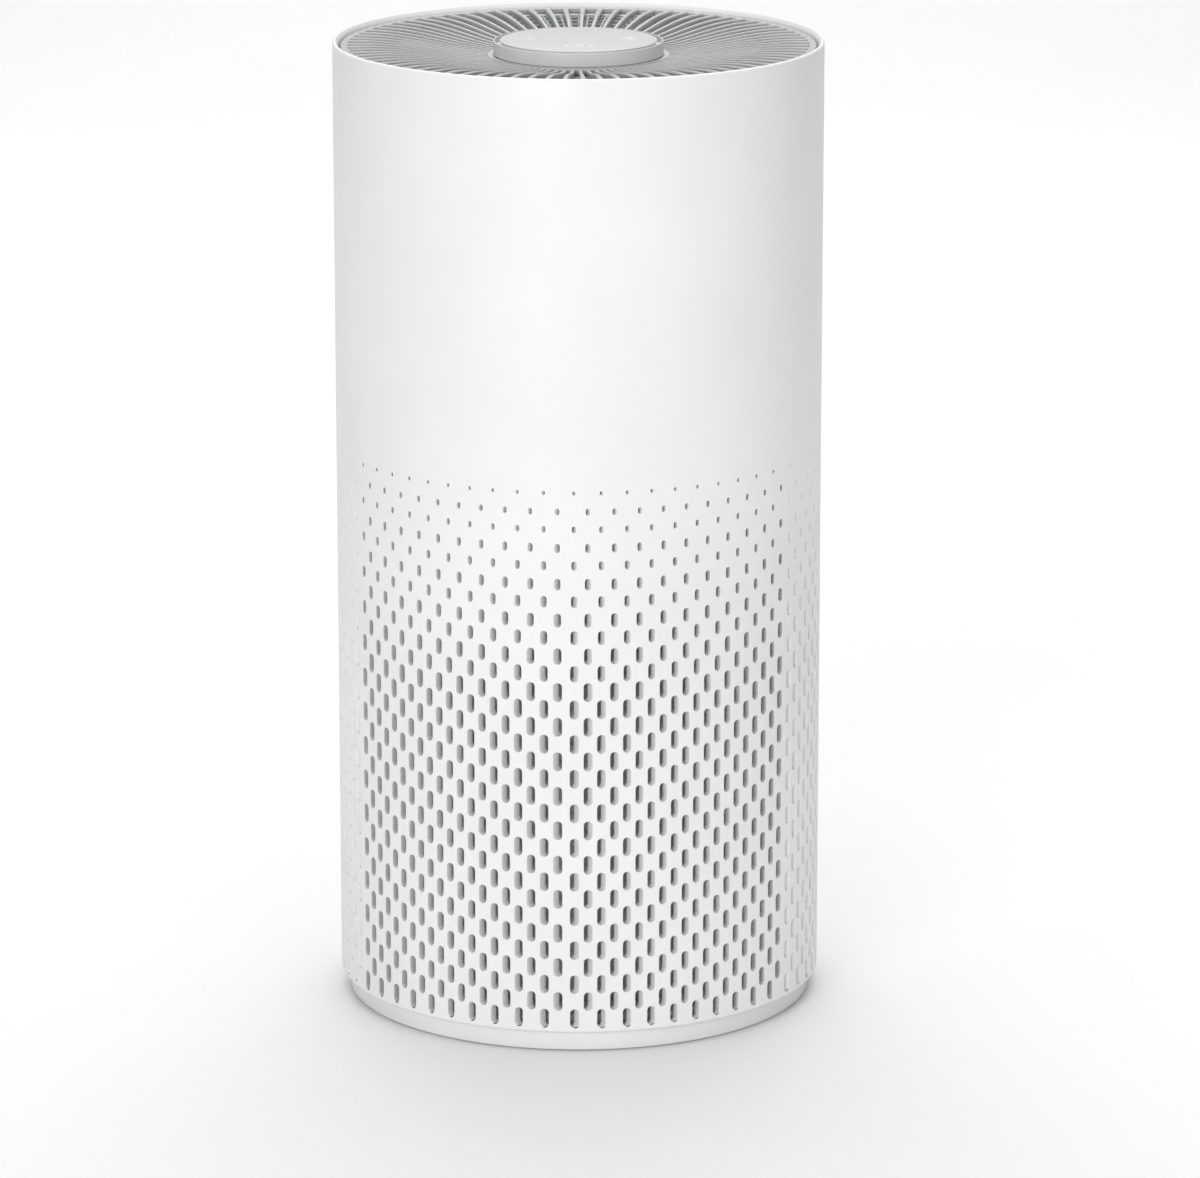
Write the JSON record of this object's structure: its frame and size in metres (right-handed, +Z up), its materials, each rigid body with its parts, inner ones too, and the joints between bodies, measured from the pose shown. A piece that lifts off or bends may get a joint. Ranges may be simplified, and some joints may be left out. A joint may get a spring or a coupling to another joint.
{
  "type": "air purifier",
  "caption": "Round tower air purifier with a perforated lower half, a dished vane grille round a touch puck on top, a drum filter inside and a twist-off base.",
  "frame": {"origin": "on the floor, at the middle of the base", "axes": "+Z up along the axis of the tower; the front, with the touch icons upright to a reader, faces -Y and the power inlet is on the +Y side"},
  "size_m": [0.22, 0.22, 0.44],
  "materials": {
    "shell_white": "fine satin, moulded",
    "base_white": "satin, moulded",
    "grille_white": "satin, moulded",
    "puck_grey": "satin",
    "lens_grey": "semi-gloss touch surface",
    "light_guide": "clear satin",
    "inner_white": "matt, moulded",
    "dark_plastic": "matt, moulded",
    "foot_rubber": "matt",
    "seal_foam": "open-cell foam",
    "filter_paper": "matt",
    "prefilter_net": "fine net",
    "carbon": "granular",
    "ribbon": "woven ribbon",
    "steel": "plain",
    "dark_steel": "blackened",
    "stator_iron": "laminated",
    "magnet": "sintered",
    "copper": "enamelled wire",
    "pin_brass": "polished",
    "circuit_board": "solder mask",
    "cable_jacket": "smooth jacket"
  },
  "bodies": {
    "base": {"base_cover": "base_white", "foot_pad_1": "foot_rubber", "foot_pad_2": "foot_rubber", "foot_pad_3": "foot_rubber", "foot_pad_4": "foot_rubber", "base_foam_ring": "seal_foam"},
    "filter": {"filter_lower_cap": "inner_white", "filter_upper_cap": "inner_white", "hepa_pleats": "filter_paper", "prefilter_mesh": "prefilter_net", "carbon_core": "carbon", "filter_pull_tab": "ribbon", "filter_top_gasket": "seal_foam"},
    "housing": {"outer_shell": "shell_white", "bayonet_ring": "inner_white", "fan_deck": "inner_white", "inlet_guard": "inner_white", "fan_housing": "inner_white", "deck_screw_1": "steel", "deck_screw_2": "steel", "deck_screw_3": "steel", "deck_screw_4": "steel", "diffuser": "inner_white", "outlet_duct": "inner_white", "motor_mount": "inner_white", "motor_bearing_lower": "steel", "motor_bearing_upper": "steel", "motor_stator": "stator_iron", "stator_winding": "copper", "motor_cap": "inner_white", "outlet_screen": "inner_white", "outlet_grille": "grille_white", "puck_housing": "puck_grey", "puck_lens": "lens_grey", "icon_light_guide": "light_guide", "control_board": "circuit_board", "puck_screw_1": "steel", "puck_screw_2": "steel", "puck_screw_3": "steel", "main_board": "circuit_board", "board_bracket": "inner_white", "power_inlet": "dark_plastic", "inlet_pin_1": "pin_brass", "inlet_pin_2": "pin_brass", "mains_lead": "cable_jacket", "control_harness": "cable_jacket"},
    "fan_rotor": {"impeller": "dark_plastic", "impeller_nut": "steel", "motor_shaft": "steel", "rotor_bell": "dark_steel", "rotor_magnets": "magnet"}
  },
  "joints": [
    {"name": "cover_twist", "type": "hinge", "parent": "base", "child": "filter", "pos_m": [0, 0, 0.01], "axis": [0, 0, 1], "range_deg": [0, 20]},
    {"name": "housing_lift", "type": "slide", "parent": "filter", "child": "housing", "axis": [0, 0, 1], "range_m": [0, 0.3]},
    {"name": "fan_spin", "type": "hinge", "parent": "housing", "child": "fan_rotor", "pos_m": [0, 0, 0.32], "axis": [0, 0, 1], "continuous": true}
  ]
}
